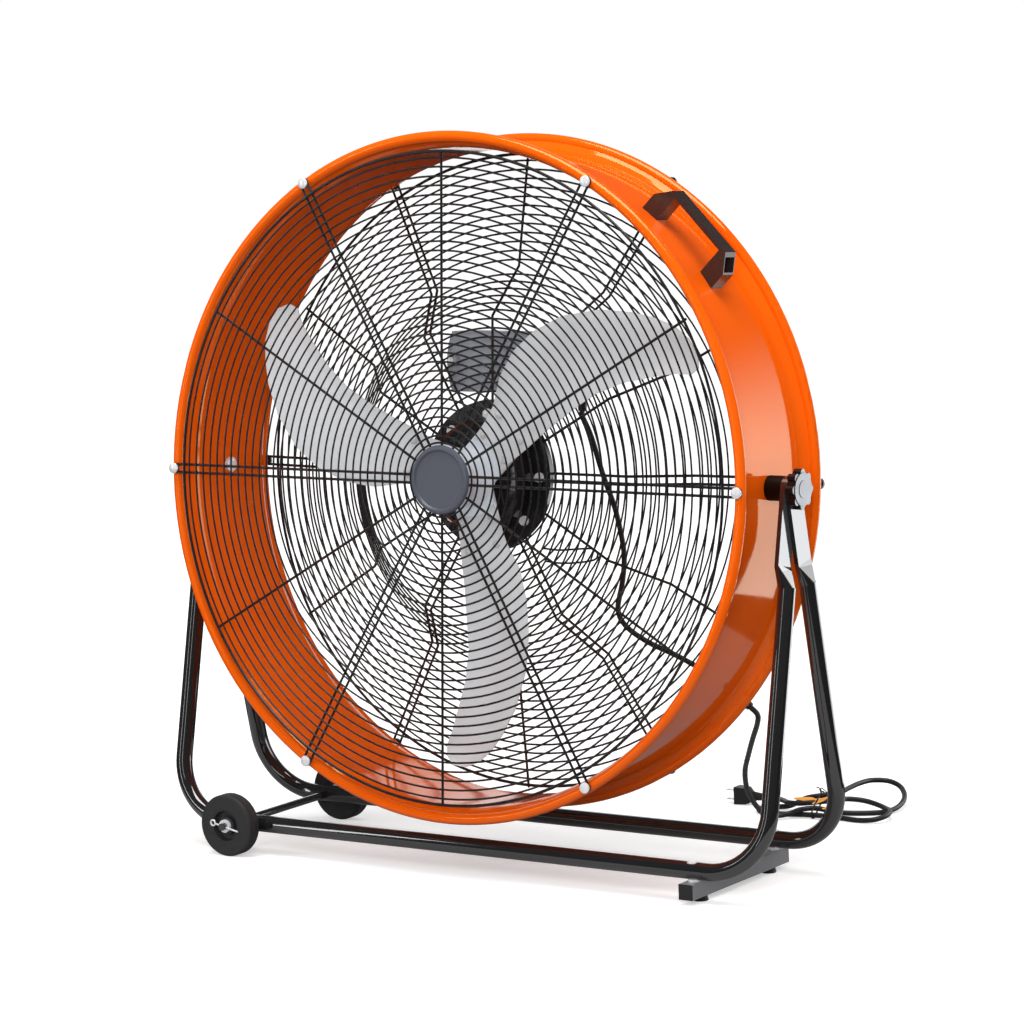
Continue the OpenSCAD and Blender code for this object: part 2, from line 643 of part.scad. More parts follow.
module rotor_hub() color("lightslategray") drum() difference() {
    bore = shaft_d / 2 + fit;
    union() {
        for (i = [0:blades - 1]) at_angle(45 + i * 360 / blades) translate([0, spider_back, 0]) rotate([90, 0, 0])
            linear_extrude(height = spider_t) polygon([
                [bore + 5, -arm_w / 4], [bore + 5 + arm_w / 7, -arm_w / 2], [arm_r - 14, -arm_w / 2], [arm_r, -arm_w / 2 + 14],
                [arm_r, arm_w / 2 - 14], [arm_r - 14, arm_w / 2], [bore + 5 + arm_w / 7, arm_w / 2], [bore + 5, arm_w / 4]
            ]);
        spin_y(96) polygon([
            [bore, spider_back - 0.5], [boss_d / 2 + 20, spider_back - 0.5], [boss_d / 2 + 19, spider_front - 0.6],
            [boss_d / 2 + 3, boss_front + boss_len * 0.55], [boss_d / 2, boss_front + boss_len * 0.5],
            [boss_d / 2, boss_front + 1], [boss_d / 2 - 1, boss_front], [bore, boss_front]
        ]);
    }
    for (i = [0:blades - 1]) at_angle(45 + i * 360 / blades) for (p = rivet_at, s = [-1, 1])
        translate([p[1], 0, s * p[0]]) rod_y(rivet_d + 0.3, boss_front, spider_back + 1, 24);
}

module shaft_nut() color("silver") drum() rotate([-90, 0, 0]) difference() {
    translate([0, 0, boss_front - 9]) cylinder(d = 27, h = 9 - fit, $fn = 6);
    translate([0, 0, boss_front - 10]) cylinder(d = shaft_d + 2 * fit, h = 12, $fn = 64);
}

// Sections of a blade from root to tip: radius, angle and depth of the lower edge,
// angle and depth of the upper edge. Angles are from the blade's middle at the root.
blade_rows = [
    [50, -35, 0, 35, 0], [76, -25, 0, 25, 0], [100, -21, 0.5, 21.5, 2], [140, -17, 1, 22, 9],
    [180, -15.5, 1, 18.7, 17], [220, -15, -1, 13.8, 21], [260, -16.4, -3, 8, 21], [300, -18.8, -5, 1, 16],
    [330, -20.4, -8, -4.8, 10], [350, -22, -13, -9, 4], [364, -21.5, -12, -12.5, 0], [372, -19.5, -7, -16, -4]
];
across = 8;
// Bow of a section between its edges, none at the riveted root
function bow(r) = 7 * min(1, max(0, (r - 110) / 90)) * min(1, max(0, (372 - r) / 60));
function blade_point(row, s) = let(
        r = row[0] > 140 ? 140 + (row[0] - 140) * (tip_r - 140) / 232 : row[0],
        a = row[1] + (row[3] - row[1]) * s,
        y = row[2] + (row[4] - row[2]) * s * s * (3 - 2 * s)
    ) [r * cos(a), -root_y - y + bow(row[0]) * 4 * s * (1 - s) * 0.4, r * sin(a)];
blade_n = len(blade_rows);
blade_step = across + 1;
blade_pts = concat(
    [for (row = blade_rows, j = [0:across]) blade_point(row, j / across) + [0, -blade_t / 2, 0]],
    [for (row = blade_rows, j = [0:across]) blade_point(row, j / across) + [0, blade_t / 2, 0]]
);
blade_off = blade_n * blade_step;
function quad(a, b, c, d) = [[a, b, c], [a, c, d]];
blade_faces = concat(
    [for (i = [0:blade_n - 2], j = [0:across - 1]) let(p = i * blade_step + j)
        each quad(p, p + blade_step, p + blade_step + 1, p + 1)],
    [for (i = [0:blade_n - 2], j = [0:across - 1]) let(p = blade_off + i * blade_step + j)
        each quad(p, p + 1, p + blade_step + 1, p + blade_step)],
    [for (j = [0:across - 1]) each quad(j, j + 1, blade_off + j + 1, blade_off + j)],
    [for (j = [0:across - 1]) let(p = (blade_n - 1) * blade_step + j)
        each quad(p, blade_off + p, blade_off + p + 1, p + 1)],
    [for (i = [0:blade_n - 2]) let(p = i * blade_step) each quad(p, blade_off + p, blade_off + p + blade_step, p + blade_step)],
    [for (i = [0:blade_n - 2]) let(p = i * blade_step + across)
        each quad(p, p + blade_step, blade_off + p + blade_step, blade_off + p)]
);

module blade(i) color("gainsboro") drum() at_angle(45 + i * 360 / blades) difference() {
    polyhedron(blade_pts, blade_faces);
    for (p = rivet_at, s = [-1, 1]) translate([p[1], 0, s * p[0]]) rod_y(rivet_d + 0.3, -root_y - 10, -root_y + 10, 24);
}
module blade_1() blade(0);
module blade_2() blade(1);
module blade_3() blade(2);

module blade_rivets() color("silver") drum() for (i = [0:blades - 1]) at_angle(45 + i * 360 / blades)
    for (p = rivet_at, s = [-1, 1]) translate([p[1], 0, s * p[0]]) {
        front = -root_y - blade_t / 2 - (p[1] > 80 ? 2.1 : 0.15);
        translate([0, front, 0]) domed_screw(rivet_d, rivet_head_d, 3, spider_back + 0.1 - front);
        rod_y(rivet_head_d - 1, spider_back + fit / 2, spider_back + 1.6, 24);
    }

// The switch box behind the grille

module box_outline(grow = 0) intersection() {
    square([box_len + 2 * grow, box_h + 2 * grow], center = true);
    circle(r = box_len / 2 + grow, $fn = 120);
}

module box_place() drum() translate([box_x, 0, box_z]) rotate([90, 0, 0]) children();

module switch_box() color("slategray") difference() {
    union() {
        box_place() translate([0, 0, -box_back]) linear_extrude(height = box_depth) box_outline();
        drum() for (a = box_mount_at) at_angle(a) translate([box_mount_r, 0, 0])
            rod_y(14, rear_flat_y + ring_lift + ring_d / 2 + fit, box_front + 1, 32);
    }
    drum() for (a = box_mount_at) at_angle(a) translate([box_mount_r, 0, 0]) rod_y(4.3, rear_flat_y, box_front + 12, 24);
    drum() translate([gland_x, gland_y, gland_z]) cylinder(d = 12.3, h = 16, center = true, $fn = 32);
}

module switch_box_cover() color("slategray") difference() {
    box_place() translate([0, 0, -box_back - cover_t - fit / 2]) linear_extrude(height = cover_t) box_outline();
    drum() translate([box_x, 0, box_z]) rod_y(8 + 2 * pivot_clear, box_back - 1, box_back + cover_t + 1, 32);
    drum() translate([box_x, 0, box_z]) for (x = [-1, 1], z = [-1, 1])
        translate([x * (box_len / 2 - 22), 0, z * (box_h / 2 - 8)]) rod_y(4.3, box_back - 1, box_back + cover_t + 1, 24);
}

module switch_box_screws() color("silver") drum() {
    for (a = box_mount_at) at_angle(a) translate([box_mount_r, rear_flat_y + ring_lift - ring_d / 2 - fit, 0])
        domed_screw(4, 9, 2.4, box_gap + 8);
    translate([box_x, 0, box_z]) for (x = [-1, 1], z = [-1, 1])
        translate([x * (box_len / 2 - 22), box_back + cover_t + fit, z * (box_h / 2 - 8)]) mirror([0, 1, 0])
            domed_screw(4, 8, 2.2, cover_t - 0.1);
}

// Speed switch knob with a pointer rib, turning on the cover
module switch_dial() color("black") drum() translate([box_x, 0, box_z]) {
    base = box_back + cover_t + fit / 2 + side_gap;
    rod_y(dial_d, base, base + 4);
    rod_y(dial_d * 0.6, base + 3.5, base + dial_h - 3);
    translate([-3.5, base + 3.5, -dial_d * 0.46]) cube([7, dial_h - 3.5, dial_d * 0.92]);
    rod_y(8, box_back + fit, base + 1, 32);
}

module cord_gland() color("black") drum() translate([gland_x, gland_y, gland_z]) rotate([180, 0, 0]) difference() {
    union() {
        translate([0, 0, -7.8]) cylinder(d = 12, h = 9, $fn = 48);
        translate([0, 0, fit / 2]) cylinder(d = 19, h = 6, $fn = 6);
        translate([0, 0, 5]) cylinder(d1 = 14, d2 = 10.5, h = gland_len - 5, $fn = 48);
    }
    translate([0, 0, gland_len - 8]) cylinder(d = cord_d + 0.6, h = 10, $fn = 32);
}

// The mains lead

function unit(v) = v / norm(v);
function side_of(t) = unit(cross(t, abs(t[2]) < 0.9 ? [0, 0, 1] : [1, 0, 0]));
function tangent(p, i) = unit(p[min(i + 1, len(p) - 1)] - p[max(i - 1, 0)]);
function carry(p, n, i = 0) = i == len(p) ? [] : let(t = tangent(p, i), m = unit(n - (n * t) * t)) concat([m], carry(p, m, i + 1));

// Points of a smooth curve through the given points, k steps from each to the next
function curve(p, k) = [
    for (i = [0:len(p) - 2], j = [0:k - 1])
        let(a = p[max(i - 1, 0)], b = p[i], c = p[i + 1], d = p[min(i + 2, len(p) - 1)], t = j / k)
        0.5 * (2 * b + (c - a) * t + (2 * a - 5 * b + 4 * c - d) * t * t + (3 * b - a - 3 * c + d) * t * t * t),
    p[len(p) - 1]
];
function path_length(p) = len(p) < 2 ? 0 : [for (i = [1:len(p) - 1]) norm(p[i] - p[i - 1])] * [for (i = [1:len(p) - 1]) 1];

module tube(p, d, sides) {
    n = len(p);
    side = carry(p, side_of(tangent(p, 0)));
    pts = [for (i = [0:n - 1], k = [0:sides - 1]) let(a = (k + 0.5) * 360 / sides, t = tangent(p, i))
        p[i] + d / 2 * (cos(a) * side[i] + sin(a) * cross(t, side[i]))];
    polyhedron(pts, concat(
        [for (i = [0:n - 2], k = [0:sides - 1]) let(a = i * sides + k, b = i * sides + (k + 1) % sides)
            each [[a, a + sides, b + sides], [a, b + sides, b]]],
        [for (k = [1:sides - 2]) [0, k, k + 1]],
        [for (k = [1:sides - 2]) let(a = (n - 1) * sides) [a, a + k + 1, a + k]]
    ));
}

// Free stretch: down from the gland behind the grille, out through the clip on
// the rear bead, then down and back to the hank
floor_z = cord_d / 2 + 0.1;
clip_at = -41;
clip_od = cord_d + 4;
clip_lift = 3.3;
clip_depth = drum_depth / 2 + clip_od / 2 + clip_lift;
function clip_point(r) = drum_to_world([r * cos(clip_at), clip_depth, r * sin(clip_at)]);
gland_end = drum_to_world([gland_x, gland_y, gland_z - gland_len + 8 - fit]);
gland_out = drum_to_world([gland_x, gland_y, gland_z - gland_len - cord_d]);
free_points = concat(
    [gland_end, (gland_end + gland_out) / 2, gland_out],
    [[116, 70, 548], [131, 72, 498], [147, 74, 452], [155, 77, 400], [149, 81, 362], [138, 85, 324],
     [148, 87, 302], [180, 88, 283], [224, 89, 267], [272, 89.5, 246]],
    [clip_point(bead_r - 20), clip_point(bead_r - 6), clip_point(bead_r + 6)],
    [[336, 93, 199], [323, 113, 182], [294, 150, 155], [262, 192, 124], [231, 234, 92], [211, 271, 60],
     [202, 303, 34], [198, 326, 18], [197.4, 338, 8.2], [200.7, 344, 7.6], [204, 350, 7]]
);
free_path = curve(free_points, 3);

module power_cord() color("black") tube(free_path, cord_d, 8);

// Hank: to the right in a raised lobe, back through the tie to a lobe on the
// left, then once more to the right and over the tie to the plug
plug_at = [102, 427, 12.5];
plug_len = 40;
tie_wire = 1.5;
tie_at = [247, 5.4];
hank_start = [204, 350, 7] + fit * unit([3.3, 6, -0.6]);
hank_points = [
    hank_start, [207.3, 356, 6.4], [210.6, 362, 5.8], [219, 371, 7.8], [231, 378, 12.2],
    [248, 389, 13.2], [270, 407, 6], [288, 420, 3.8], [306, 430, floor_z], [321, 444, floor_z],
    [329, 463, 6], [328, 485, 11], [318, 507, 17], [300, 526, 22.5], [278, 533, 26], [259, 522, 27],
    [254, 498, 27], [256, 465, 27], [260, 434, 27.5], [249, 409, 27.5], [226, 402, 23],
    [206, 410, 13], [190, 417, 6], [175, 417, floor_z], [162, 409, floor_z], [157, 397, floor_z],
    [162, 384, floor_z], [177, 377, floor_z], [200, 378, floor_z], [225, 381, 4.4], [252, 382, 5.4],
    [285, 386, 4], [312, 384, floor_z], [335, 386, 5.5], [347, 400, 9], [343, 420, 11.3],
    [325, 437, 11.4], [304, 448, 13], [283, 450, 15.5], [267, 438, 18], [260, 418, 19.5],
    [246, 397, 20], [223, 388, 18], [202, 395, 16], [186, 410, 14.5], [171, 422, 13],
    [157, 427, 12.5], [149, 427, 12.5], plug_at + [plug_len + fit, 0, 0]
];
module cord_hank() color("black") tube(curve(hank_points, 3), cord_d, 6);

// Least gap of the hank to itself, on points a few millimetres apart
fine = curve(hank_points, 8);
gaps = [for (i = [0:len(fine) - 1], j = [i + 1:len(fine) - 1])
    if (j > i + 8 && norm(fine[i] - fine[j]) < 12) norm(fine[i] - fine[j]) - cord_d];
echo(hank_gap = min(gaps), hank_length = path_length(fine), free_length = path_length(free_path));

// A wire tie round the waist of the hank
tie_strands = [[381.8, 6.15], [388.3, 13.25], [398.1, 20], [407.8, 27.25]];
module hank_tie() color("black") translate([tie_at[0], 0, 0]) rotate([90, 0, 90])
    linear_extrude(height = tie_wire, center = true) difference() {
        hull() tie_corners(tie_wire + 1);
        hull() tie_corners(1);
    }
module tie_corners(grow) for (p = tie_strands) translate(p) circle(r = cord_d / 2 + grow, $fn = 24);

// Two-pin plug lying on its side
module mains_plug() color("black") translate(plug_at) difference() {
    union() {
        hull() {
            translate([0, -9, -12]) cube([2, 18, 24]);
            translate([16, -8, -11]) cube([2, 16, 22]);
            translate([24, 0, 0]) rotate([0, 90, 0]) cylinder(d = 15, h = 1, $fn = 32);
        }
        for (i = [0:2]) translate([25 + 4 * i, 0, 0]) rod_x(13 - i, 0, 2.6, 32);
        rod_x(10.4, 24, plug_len, 32);
    }
    for (z = [-6.35, 6.35]) translate([-1, -3.2, z - 0.8]) cube([9, 6.4, 1.6]);
}

module plug_pins() color("silver") translate(plug_at) for (z = [-6.35, 6.35])
    translate([-15, -3.1, z - 0.7]) cube([22.9, 6.2, 1.4]);

module cord_clip() color("black") drum() at_angle(clip_at) translate([0, clip_depth, 0]) difference() {
    union() {
        rod_x(clip_od, bead_r - 5, bead_r + 5);
        translate([bead_r - 5, -clip_od / 2 - clip_lift, -3]) cube([10, clip_od / 2 + clip_lift, 6]);
    }
    rod_x(cord_d + 1.6, bead_r - 6, bead_r + 6);
    translate([0, -clip_depth, 0]) translate([bead_r, bead_y, 0]) cylinder(r = bead_d / 2 + fit, h = 20, center = true, $fn = 48);
}

front_frame_tube();
rear_frame_tube();
wheel_axle();
axle_washers();
axle_clips();
foot_bar();
foot_bar_caps();
foot_bar_bolts();
foot_bar_spacers();
rubber_feet();
front_tyre();
front_wheel_hub();
rear_tyre();
rear_wheel_hub();
drum_shell();
drum_handle();
front_grille();
front_grille_centre();
front_grille_screws();
front_cap();
rear_grille();
rear_grille_dish();
rear_grille_screws();
pivot_spacers();
pivot_bolts();
left_star_knob();
right_star_knob();
motor_housing();
motor_flange();
motor_clamp_ring();
motor_bolts();
motor_shaft();
rotor_hub();
blade_1();
blade_2();
blade_3();
blade_rivets();
shaft_nut();
switch_box();
switch_box_cover();
switch_box_screws();
switch_dial();
cord_gland();
cord_clip();
power_cord();
cord_hank();
hank_tie();
mains_plug();
plug_pins();
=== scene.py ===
# %% [markdown]
# # A drum fan on a tilting stand
# The rigid shapes come from the CAD model and only get their finishes here. The lead, which the
# CAD model gives in short straight stretches, is drawn again as a smooth curve, and what it leaves
# out is added: a paper strip, a loop of wire and the ends of a tie. Lengths are in metres, Z is
# up and the front grille faces -Y.

# %% Load the rigid model
import math

import bpy
from mathutils import Matrix, Vector


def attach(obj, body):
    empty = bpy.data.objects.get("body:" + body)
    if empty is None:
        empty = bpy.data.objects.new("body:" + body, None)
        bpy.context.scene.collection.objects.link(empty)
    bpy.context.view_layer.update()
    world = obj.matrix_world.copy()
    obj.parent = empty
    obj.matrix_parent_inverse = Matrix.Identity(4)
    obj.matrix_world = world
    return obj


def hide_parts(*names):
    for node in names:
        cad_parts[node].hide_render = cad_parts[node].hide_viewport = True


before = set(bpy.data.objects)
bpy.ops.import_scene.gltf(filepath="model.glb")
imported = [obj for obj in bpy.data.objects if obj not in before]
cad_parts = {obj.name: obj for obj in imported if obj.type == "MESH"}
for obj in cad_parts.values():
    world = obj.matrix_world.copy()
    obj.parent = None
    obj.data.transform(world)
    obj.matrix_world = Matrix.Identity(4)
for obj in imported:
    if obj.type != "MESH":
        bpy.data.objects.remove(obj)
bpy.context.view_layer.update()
bpy.context.scene.view_settings.view_transform = "Standard"

# %% [markdown]
# ## The camera
# A long lens from the right front, a little above the pivots. Its place was found by laying
# the drum's two round beads, the wheels and the stand over the picture. The small shift puts
# the optical axis back where it was before the picture was cropped.

# %% Place the camera
eye = Vector((2.7741, -4.0318, 1.0977))
yaw, pitch, roll = math.radians(34.28), math.radians(7.46), math.radians(-2.21)
picture_px, focal_px = 1024, 3855.36
axis_px = (504.58, 509.80)
sensor = 36

ahead = Vector((-math.sin(yaw) * math.cos(pitch), math.cos(yaw) * math.cos(pitch), -math.sin(pitch)))
level = Vector((math.cos(yaw), math.sin(yaw), 0))
upright = level.cross(ahead)
right = level * math.cos(roll) + upright * math.sin(roll)
up = upright * math.cos(roll) - level * math.sin(roll)

camera_data = bpy.data.cameras.new("photo_camera")
camera_data.sensor_width = sensor
camera_data.lens = sensor * focal_px / picture_px
camera_data.shift_x = 0.5 - axis_px[0] / picture_px
camera_data.shift_y = axis_px[1] / picture_px - 0.5
camera_data.clip_start, camera_data.clip_end = 0.1, 100
camera = bpy.data.objects.new("photo_camera", camera_data)
bpy.context.scene.collection.objects.link(camera)
camera.matrix_world = Matrix((
    (right.x, up.x, -ahead.x, eye.x),
    (right.y, up.y, -ahead.y, eye.y),
    (right.z, up.z, -ahead.z, eye.z),
    (0, 0, 0, 1),
))
bpy.context.scene.camera = camera
print("camera:", [round(x, 2) for x in eye], "lens", round(camera_data.lens, 1), "mm")

# %% [markdown]
# ## The mains lead
# A round 7 mm lead is stiff enough to keep long, even curves. Its line is a list of points
# taken every few centimetres; a smooth curve is passed through them, the same one that the
# CAD source uses, and a Blender curve with a round bevel gives it its thickness.

# %% Smooth lines through a few points
def smooth_line(points, steps):
    """Points of an even curve through the given ones, with so many steps from each to the next."""
    points = [Vector(p) for p in points]
    line = []
    for i in range(len(points) - 1):
        a, b = points[max(i - 1, 0)], points[i]
        c, d = points[i + 1], points[min(i + 2, len(points) - 1)]
        for j in range(steps):
            t = j / steps
            line.append(0.5 * (2 * b + (c - a) * t + (2 * a - 5 * b + 4 * c - d) * t * t
                               + (3 * b - a - 3 * c + d) * t * t * t))
    return line + [points[-1]]


def line_length(line):
    """The length of a line of points, added up from each to the next."""
    return sum((line[i + 1] - line[i]).length for i in range(len(line) - 1))


def round_cord(name, line, diameter):
    """A Blender curve with a round bevel along a line."""
    data = bpy.data.curves.new(name, "CURVE")
    data.dimensions = "3D"
    data.bevel_depth = 1  # times each point's radius, which Blender also adds to the piece's box
    data.bevel_resolution = 5
    data.use_fill_caps = True
    spline = data.splines.new("POLY")
    spline.points.add(len(line) - 1)
    for point, p in zip(spline.points, line):
        point.co = (*p, 1)
        point.radius = diameter / 2
    spline.use_smooth = True
    piece = bpy.data.objects.new(name, data)
    bpy.context.scene.collection.objects.link(piece)
    return piece


# %% The drum's own frame
tilt = math.radians(3.8)
axis_height = 0.502


def on_drum(x, y, z):
    """A point given in the drum's own frame, in metres: Y runs along its axis."""
    return Vector((x, y * math.cos(tilt) + z * math.sin(tilt),
                   axis_height + z * math.cos(tilt) - y * math.sin(tilt)))


# %% The free stretch of the lead
cord_d = 0.007
line_steps = 6
gland_x, gland_y = 0.1045, 0.064
gland_end, gland_out = on_drum(gland_x, gland_y, 0.0909), on_drum(gland_x, gland_y, 0.076)
clip_angle, clip_y = math.radians(-41), 0.1063


def from_mm(*points):
    """Points given in millimetres, as vectors in metres."""
    return [Vector(p) / 1000 for p in points]


def at_clip(r):
    """A point of the lead where the clip holds it, at a distance from the drum's axis."""
    return on_drum(r * math.cos(clip_angle), clip_y, r * math.sin(clip_angle))


free_route = [gland_end, (gland_end + gland_out) / 2, gland_out] + from_mm(
    (116, 70, 548), (131, 72, 498), (147, 74, 452), (155, 77, 400), (149, 81, 362), (138, 85, 324),
    (148, 87, 302), (180, 88, 283), (224, 89, 267), (272, 89.5, 246),
) + [at_clip(r) for r in (0.4105, 0.4245, 0.4365)] + from_mm(
    (336, 93, 199), (323, 113, 182), (294, 150, 155), (262, 192, 124), (231, 234, 92), (211, 271, 60),
    (202, 303, 34), (198, 326, 18), (197.4, 338, 8.2), (200.7, 344, 7.6), (204, 350, 7),
)
free_line = smooth_line(free_route, line_steps)
free_cord = round_cord("lead_free", free_line, cord_d)
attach(free_cord, "drum")
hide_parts("power_cord")
print("free stretch:", round(line_length(free_line), 3), "m")

# %% [markdown]
# ## The hank
# What is left of the lead is folded up: out to the right in a raised lobe, back through the
# tie, round a short lobe on the left, out to the right again and over the tie to the plug.

# %% The hank of the lead
low = 3.6  # the height of its middle, in mm, where it lies on the floor
hank_route = from_mm(
    (204.06, 350.1, 7), (207.3, 356, 6.4), (210.6, 362, 5.8), (219, 371, 7.8), (231, 378, 12.2),
    (248, 389, 13.2), (270, 407, 6), (288, 420, 3.8), (306, 430, low), (321, 444, low), (329, 463, 6),
    (328, 485, 11),
    (318, 507, 17), (300, 526, 22.5), (278, 533, 26), (259, 522, 27), (254, 498, 27), (256, 465, 27),
    (260, 434, 27.5), (249, 409, 27.5), (226, 402, 23), (206, 410, 13), (190, 417, 6), (175, 417, low),
    (162, 409, low), (157, 397, low), (162, 384, low), (177, 377, low), (200, 378, low), (225, 381, 4.4),
    (252, 382, 5.4), (285, 386, 4), (312, 384, low), (335, 386, 5.5), (347, 400, 9), (343, 420, 11.3),
    (325, 437, 11.4), (304, 448, 13), (283, 450, 15.5), (267, 438, 18), (260, 418, 19.5), (246, 397, 20),
    (223, 388, 18), (202, 395, 16), (186, 410, 14.5), (171, 422, 13), (157, 427, 12.5), (149, 427, 12.5),
    (142.1, 427, 12.5),
)
hank_line = smooth_line(hank_route, line_steps)
hank = round_cord("lead_hank", hank_line, cord_d)
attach(hank, "stand")
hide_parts("cord_hank")
print("hank:", round(line_length(hank_line), 3), "m")

# %% [markdown]
# ## Wire and paper
# A bent wire loop behind the grille beside the motor, the two twisted ends of the tie round the
# hank, and the folded paper strip that the tie holds. Each starts from the piece it sits on.

# %% Bent wires
loop_d, loop_y = 0.0026, 0.0192
tie_d, twist_r, twist_turns, twist_steps = 0.0013, 0.0008, 2, 12


def bent_wire(name, points, diameter, body, steps=line_steps):
    """A wire bent through some points, riding on a body."""
    piece = round_cord(name, smooth_line(points, steps), diameter)
    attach(piece, body)
    return piece


wire_loop = bent_wire("motor_wire_loop", [on_drum(x, loop_y, z) for x, z in (
    (0.076, -0.0915), (0.098, -0.0925), (0.120, -0.0905), (0.141, -0.0885), (0.1515, -0.0890),
    (0.1565, -0.0950), (0.1530, -0.1015), (0.140, -0.1050), (0.118, -0.1080), (0.097, -0.1090),
    (0.077, -0.1075),
)], loop_d, "drum")

twist_foot, twist_top = Vector((0.2468, 0.4050, 0.0325)), Vector((0.2452, 0.4050, 0.0368))
tails = (
    [(0.2490, 0.4042, 0.0378), (0.2545, 0.4022, 0.0352), (0.2608, 0.4004, 0.0318)],
    [(0.2428, 0.4044, 0.0386), (0.2412, 0.4026, 0.0376)],
)
twist_ends = []
for side, tail in enumerate(tails):
    strand = []
    for k in range(twist_steps + 1):
        turn = math.pi * (side + 2 * twist_turns * k / twist_steps)
        strand.append(twist_foot.lerp(twist_top, k / twist_steps)
                      + Vector((twist_r * math.cos(turn), twist_r * math.sin(turn), 0)))
    twist_ends.append(bent_wire("tie_end_%d" % (side + 1), strand + [Vector(p) for p in tail],
                                tie_d, "stand", 3))
print("bent wires:", wire_loop.name, [w.name for w in twist_ends])


# %% The folded paper strip
def paper_strip(name, upper, lower):
    """A grid laid between two edges, creased at every point of them, and given a paper's thickness."""
    bpy.ops.object.select_all(action="DESELECT")
    bpy.ops.mesh.primitive_grid_add(x_subdivisions=len(upper) - 1, y_subdivisions=1, size=0.02)
    strip = bpy.context.object
    strip.name = name
    columns = sorted({round(v.co.x, 5) for v in strip.data.vertices})  # one for each crease
    for v in strip.data.vertices:
        column = columns.index(round(v.co.x, 5))
        v.co = upper[column] if v.co.y > 0 else lower[column]
    thick = strip.modifiers.new("paper", "SOLIDIFY")
    thick.thickness = 0.0005
    bpy.ops.object.modifier_apply(modifier=thick.name)
    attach(strip, "stand")
    return strip


strip = paper_strip("tie_strip", [
    (0.2115, 0.3950, 0.0238), (0.2240, 0.3962, 0.0252), (0.2370, 0.3970, 0.0262),
    (0.2455, 0.3952, 0.0243), (0.2560, 0.3985, 0.0270), (0.2625, 0.4008, 0.0290),
], [
    (0.2110, 0.3930, 0.0220), (0.2250, 0.3920, 0.0212), (0.2385, 0.3900, 0.0196),
    (0.2461, 0.3885, 0.0183), (0.2565, 0.3935, 0.0228), (0.2618, 0.3995, 0.0280),
])
strip_end = paper_strip("tie_strip_end", [
    (0.2590, 0.3852, 0.0157), (0.2650, 0.3858, 0.0163), (0.2701, 0.3866, 0.0172),
], [
    (0.2600, 0.3838, 0.0140), (0.2655, 0.3838, 0.0142), (0.2717, 0.3840, 0.0145),
])
print("paper strip:", len(strip.data.vertices) + len(strip_end.data.vertices), "points")

# %% [markdown]
# ## Light and background
# A white studio: an even world light and soft boxes in front, above and behind. Gloss paint
# shows what stands round it, so some lamps light only the reflections. The panel close to the
# right is what makes the drum's side pale there; it fades upwards, as the paleness does in the
# picture. Two upright strips draw the fine bright lines along the tubes.

# %% A helper for shader nodes
def put(tree, kind, inputs=None, **settings):
    """Adds a node. Each of its inputs gets a value, or a link from another node's output."""
    node = tree.nodes.new("ShaderNode" + kind)
    for name, value in settings.items():
        setattr(node, name, value)
    for socket, value in (inputs or {}).items():
        if isinstance(value, bpy.types.NodeSocket):
            tree.links.new(value, node.inputs[socket])
        else:
            node.inputs[socket].default_value = value
    return node


def worked_out(tree, operation, *values):
    """The result of one sum or comparison of sockets and numbers."""
    return put(tree, "Math", dict(enumerate(values)), operation=operation).outputs[0]


# %% World light
world = bpy.data.worlds.new("studio")
bpy.context.scene.world = world
world.use_nodes = True
sky = world.node_tree
sky.nodes.clear()
rays = put(sky, "LightPath").outputs


def background(strength):
    """Plain white of some strength."""
    return put(sky, "Background", {"Color": (1, 1, 1, 1), "Strength": strength}).outputs[0]


seen = background(0.45)
for ray, strength in (("Is Glossy Ray", 0.06), ("Is Transmission Ray", 1.0), ("Is Camera Ray", 1.0)):
    seen = put(sky, "MixShader", {"Fac": rays[ray], 1: seen, 2: background(strength)}).outputs[0]
put(sky, "OutputWorld", {"Surface": seen})
print("world light:", len(sky.nodes), "nodes")


# %% Soft boxes
def soft_box(name, place, target, size, brightness, only_reflected=False, never_reflected=False):
    """A rectangular lamp as bright as it is said to be, whatever its size."""
    data = bpy.data.lights.new(name, "AREA")
    data.shape = "RECTANGLE"
    data.size, data.size_y = size
    data.energy = brightness * math.pi * size[0] * size[1]
    lamp = bpy.data.objects.new(name, data)
    lamp.location = place
    lamp.rotation_euler = (Vector(target) - Vector(place)).to_track_quat("-Z", "Y").to_euler()
    lamp.visible_camera = False
    lamp.visible_diffuse = not only_reflected
    lamp.visible_glossy = not never_reflected
    bpy.context.scene.collection.objects.link(lamp)
    return lamp


def fade_upward(lamp, full_height, dark_height):
    """Lets a lamp's brightness fall from full at one height to nothing at another."""
    lamp.data.use_nodes = True
    tree = lamp.data.node_tree
    place = put(tree, "NewGeometry").outputs["Position"]
    fall = put(tree, "MapRange", {
        "Value": put(tree, "SeparateXYZ", {0: place}).outputs["Z"],
        "From Min": full_height, "From Max": dark_height, "To Min": 1, "To Max": 0,
    }, interpolation_type="SMOOTHSTEP")
    tree.links.new(fall.outputs["Result"], tree.nodes["Emission"].inputs["Strength"])


